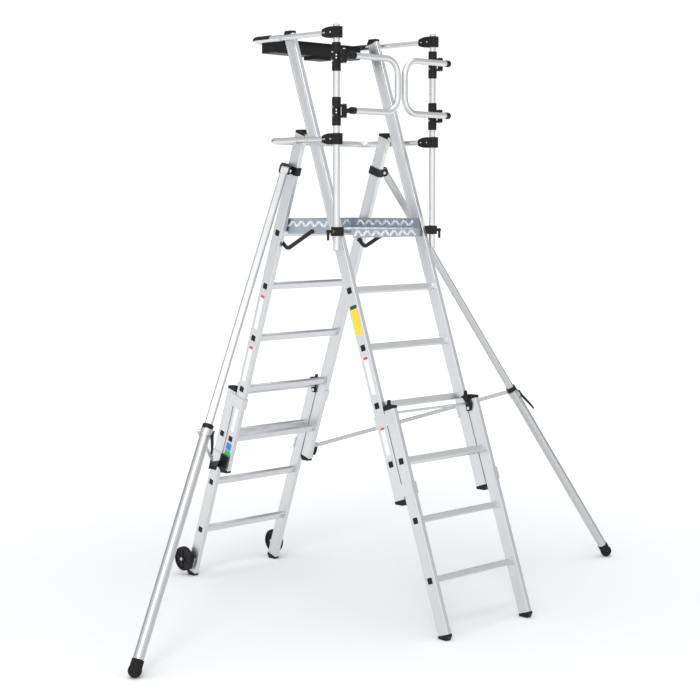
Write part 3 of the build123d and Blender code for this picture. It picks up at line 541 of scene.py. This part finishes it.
def fix(name, body, head, finish, spots, slot="zinc_steel"):
    """Heads at (point, direction) pairs."""
    base = cloud([p for p, d in spots], [d for p, d in spots])
    return grow(name, base, heads, body, slot, Head=head, Finish=finish)


# %% Where the fixings go
COLLAR_RADIUS = 21 * MM
spots = []
for centre, size in lumps("rail_connectors"):
    for dy in (-size.y * 0.08, size.y * 0.30):
        for side in (-1, 1):
            spots.append((centre + Vector((side * size.x / 2, dy, 0)), Vector((side, 0, 0))))
fix("connector_screws", "main", SCREW, ZINC, spots)

spots = []
for centre, size in lumps("gate_collars"):
    post = Vector((centre.x, centre.y + size.y / 2 - COLLAR_RADIUS, centre.z))
    way = Vector((math.copysign(0.7071, centre.x), -0.7071, 0))
    for dz in (-7 * MM, 7 * MM):
        spots.append((post + way * COLLAR_RADIUS + Vector((0, 0, dz)), way))
fix("collar_rivets", "main", RIVET, ZINC, spots)

# Each hinge leaf is riveted to its stile below the pin, with the heads on the side of the other ladder.
HINGE = Vector((0, *JOINT["rear_fold"]["pos_m"][1:]))
STILE_CENTRE = stile_high.x - STILE_WIDTH / 2
LEAF_FACE = 8.4 * MM      # from the pin to the face of a leaf
for node, body, up, out in (("front", "main", FRONT_UP, Vector((0, -FRONT_UP.z, FRONT_UP.y))),
                            ("rear", "rear_upper", REAR_UP, Vector((0, REAR_UP.z, -REAR_UP.y)))):
    spots = [(HINGE + Vector((side * STILE_CENTRE, 0, 0)) + out * LEAF_FACE - up * drop * MM, -out)
             for side in (-1, 1) for drop in (30, 52)]
    fix(f"hinge_{node}_rivets", body, RIVET, ZINC, spots)

# %% [markdown]
# ## Ribbed wheels
# The transport wheels are solid mouldings with a ribbed tread. The ribs are small blocks on a circle.

# %% Wheel ribs
studs = Tree("tread studs", Count=("Int", 40), Radius=("Float", 0.06), Width=("Float", 0.02),
             Size=("Float", 0.003), Finish=("Material", None))
ring = studs.add("MeshCircle", {}, {"Vertices": studs.input("Count"), "Radius": studs.input("Radius")})
normal = studs.add("InputPosition", {}, {})
block = studs.add("MeshCube", {}, {"Size": studs.vector(
    studs.input("Size"), studs.input("Size"), studs.input("Width"))})
studs.close(studs.add("InstanceOnPoints", {}, {
    "Points": ring, "Instance": block,
    "Rotation": studs.add("FunctionNodeAlignRotationToVector", {"axis": "X"}, {"Vector": normal})}))
for name, body in (("wheel_left", "wheel_l"), ("wheel_right", "wheel_r")):
    low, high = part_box(name)
    place = Matrix.Translation((low + high) / 2) @ Matrix.Rotation(math.pi / 2, 4, "Y")
    grow(name + "_ribs", bpy.data.meshes.new("empty"), studs, body, "wheel_black", place, Count=44,
         Radius=(high.z - low.z) / 2 - 1.2 * MM, Width=(high.x - low.x) - 13 * MM, Size=2.6 * MM, Finish=WHEEL)

# %% [markdown]
# ## Labels
# Such a ladder carries vinyl labels on its stiles. Here they are plain: colour fields and a band, with no words
# or symbols. A label is a thin plate with rounded corners, and its own UV map carries the pattern.


# %% Label materials
def vinyl(name, field, band=None, share=0.2):
    """Printed vinyl: one field of colour, and a band across one end."""
    paint = Paint(name, IOR=1.45)
    film = paint.noise(120.0, 3.0)
    uv = paint.add("ShaderNodeUVMap", {"uv_map": "label"}, {})
    split = paint.add("ShaderNodeSeparateXYZ", {}, {"Vector": uv}, "Y")
    edge = split.join("GREATER_THAN", split, 1 - share)
    base = paint.blend(film * 0.3, (*field, 1), tuple(c * 0.9 for c in field) + (1,))
    paint.set(Base_Color=paint.blend(edge, base, (*(band or field), 1)))
    paint.set(Roughness=film * 0.12 + 0.30)
    paint.bump(film, 0.08, 0.0002)
    return paint.material


YELLOW = vinyl("label_yellow", (0.90, 0.62, 0.02), (0.03, 0.03, 0.03), 0.12)
WHITE = vinyl("label_white", (0.84, 0.84, 0.83), (0.62, 0.05, 0.04), 0.07)
BLUE = vinyl("label_blue", (0.02, 0.22, 0.60))
GREEN = vinyl("label_green", (0.05, 0.45, 0.12))


def label(name, body, centre, along, facing, length, width, finish):
    """A rounded plate 0.3 mm thick whose back lies on the surface at centre."""
    along, facing = along.normalized(), facing.normalized()
    across = along.cross(facing)
    radius, corner_steps, thick = min(2.5 * MM, width / 4), 4, 0.3 * MM
    outline = []
    for cx, cy, start in ((1, 1, 0), (-1, 1, 1), (-1, -1, 2), (1, -1, 3)):
        for step in range(corner_steps + 1):
            angle = (start + step / corner_steps) * math.pi / 2
            outline.append((cx * (width / 2 - radius) + radius * math.cos(angle),
                            cy * (length / 2 - radius) + radius * math.sin(angle)))
    shape = bmesh.new()
    uv = shape.loops.layers.uv.new("label")
    rings = [[shape.verts.new(centre + across * a + along * b + facing * lift) for a, b in outline]
             for lift in (0.02 * MM, thick)]
    count = len(outline)
    shape.faces.new(list(reversed(rings[0])))
    shape.faces.new(rings[1])
    for i in range(count):
        j = (i + 1) % count
        shape.faces.new((rings[0][i], rings[0][j], rings[1][j], rings[1][i]))
    bmesh.ops.recalc_face_normals(shape, faces=shape.faces)
    for face in shape.faces:
        for loop in face.loops:
            offset = loop.vert.co - centre
            loop[uv].uv = (offset.dot(across) / width + 0.5, offset.dot(along) / length + 0.5)
    mesh = bpy.data.meshes.new(name)
    shape.to_mesh(mesh)
    shape.free()
    mesh.materials.append(finish)
    return keep(name, mesh, body, False)


# %% Labels on the stiles
front_rungs = [centre for centre, size in lumps("front_upper_rungs")]
rear_rungs = [centre for centre, size in lumps("rear_upper_rungs")]
STILE_X = stile_high.x


def between(rungs, lower, share):
    return rungs[lower].lerp(rungs[lower + 1], share)


spot = between(front_rungs, 2, 0.48)
label("label_front_left_yellow", "main", Vector((-STILE_X, spot.y, spot.z)), FRONT_UP, Vector((-1, 0, 0)),
      0.145, 0.044, YELLOW)
for name, lower, share, length in (("low", 0, 0.42, 0.15), ("middle", 1, 0.5, 0.19), ("high", 2, 0.5, 0.18)):
    spot = between(rear_rungs, lower, share)
    label(f"label_rear_left_{name}", "rear_upper", Vector((-STILE_X, spot.y, spot.z)), REAR_UP,
          Vector((-1, 0, 0)), length, 0.026, WHITE)
for side in (-1, 1):
    name = "left" if side < 0 else "right"
    for row, lower, share, length in (("upper", 1, 0.52, 0.18), ("lower", 0, 0.39, 0.13)):
        spot = between(front_rungs, lower, share)
        label(f"label_front_{name}_{row}", "main", Vector((side * STILE_X, spot.y, spot.z)), FRONT_UP,
              Vector((side, 0, 0)), length, 0.026, WHITE)
rear_step = rear_rungs[1] - rear_rungs[0]
for name, drop, finish in (("blue", 0.155, BLUE), ("green", 0.30, GREEN)):
    spot = rear_rungs[0] - rear_step * drop
    label(f"label_rear_left_{name}", "rear_upper", Vector((-STILE_X, spot.y, spot.z)), REAR_UP,
          Vector((-1, 0, 0)), 0.038, 0.038, finish)

# %% Take away the two head models
for helper in (RIVET, SCREW):
    bpy.data.objects.remove(helper)

# %% [markdown]
# ## Floor, light and camera
# The product stands on a pale floor in soft light from all round, with one broad lamp from the upper left that
# gives the shadows their direction. The floor also glows more with distance from the ladder: painted light that
# brightens the far floor where the lamps fall off.

# %% Stage
floor_mesh = bpy.data.meshes.new("floor")
SPREAD = 60.0
floor_mesh.from_pydata([(-SPREAD, -SPREAD, 0), (SPREAD, -SPREAD, 0), (SPREAD, SPREAD, 0), (-SPREAD, SPREAD, 0)],
                       [], [(0, 1, 2, 3)])
floor = bpy.data.objects.new("floor", floor_mesh)
bpy.context.scene.collection.objects.link(floor)
floor.location.z = -0.5 * MM
# The floor's emission is painted light: a glow that rises with distance from the ladder and lifts the far floor
# where the lamps fall off.
pale = Paint("pale_floor", Roughness=0.6, Base_Color=(0.90, 0.90, 0.90, 1), Emission_Strength=1.0)
away = pale.add("ShaderNodeVectorMath", {"operation": "LENGTH"}, {0: pale.place}, "Value")
pale.set(Emission_Color=pale.blend(pale.ramp(away * 0.1, 0.12, 0.6), (0, 0, 0, 1), (0.35, 0.35, 0.35, 1)))
floor_mesh.materials.append(pale.material)

world = bpy.data.worlds.new("studio")
bpy.context.scene.world = world
world.use_nodes = True
sky = world.node_tree
LIGHT_SIDE = Vector((-0.62, -0.55, 0.56))
direction = sky.nodes.new("ShaderNodeTexCoord")
facing_light = sky.nodes.new("ShaderNodeVectorMath")
facing_light.operation = "DOT_PRODUCT"
facing_light.inputs[1].default_value = LIGHT_SIDE
brightness = sky.nodes.new("ShaderNodeMapRange")
for socket, value in (("From Min", -0.6), ("From Max", 0.9), ("To Min", 0.18), ("To Max", 1.34)):
    brightness.inputs[socket].default_value = value
room = sky.nodes["Background"]
room.inputs["Color"].default_value = (0.97, 0.985, 1.0, 1)
backdrop = sky.nodes.new("ShaderNodeBackground")
backdrop.inputs["Color"].default_value = (1.0, 1.0, 1.0, 1)
backdrop.inputs["Strength"].default_value = 1.1
seen = sky.nodes.new("ShaderNodeLightPath")
choice = sky.nodes.new("ShaderNodeMixShader")
sky.links.new(direction.outputs["Generated"], facing_light.inputs[0])
sky.links.new(facing_light.outputs["Value"], brightness.inputs["Value"])
sky.links.new(brightness.outputs["Result"], room.inputs["Strength"])
sky.links.new(seen.outputs["Is Camera Ray"], choice.inputs["Fac"])
sky.links.new(room.outputs[0], choice.inputs[1])
sky.links.new(backdrop.outputs[0], choice.inputs[2])
sky.links.new(choice.outputs[0], sky.nodes["World Output"].inputs["Surface"])
bpy.context.scene.view_settings.view_transform = "Standard"


def lamp(name, place, target, size, power):
    data = bpy.data.lights.new(name, "AREA")
    data.shape, data.size, data.energy = "DISK", size, power
    light = bpy.data.objects.new(name, data)
    bpy.context.scene.collection.objects.link(light)
    light.location = place
    light.rotation_euler = (Vector(target) - Vector(place)).to_track_quat("-Z", "Y").to_euler()
    return light


hinge_y = JOINT["rear_fold"]["pos_m"][1]
aim = (0, hinge_y, 1.2)
lamp("key", (-5.5, -4.0, 6.5), aim, 2.5, 150)
lamp("top", (0.5, 1.0, 8.0), aim, 4.0, 80)

# %% Camera
camera_data = bpy.data.cameras.new("camera")
camera_data.lens, camera_data.sensor_width = 82.56, 36.0
camera_data.clip_end = 200.0
camera = bpy.data.objects.new("camera", camera_data)
bpy.context.scene.collection.objects.link(camera)
camera.location = (-5.607, hinge_y - 5.657, 1.974)
camera.rotation_euler = (math.radians(90 - 5.26), 0, math.radians(-44.74))
bpy.context.scene.camera = camera
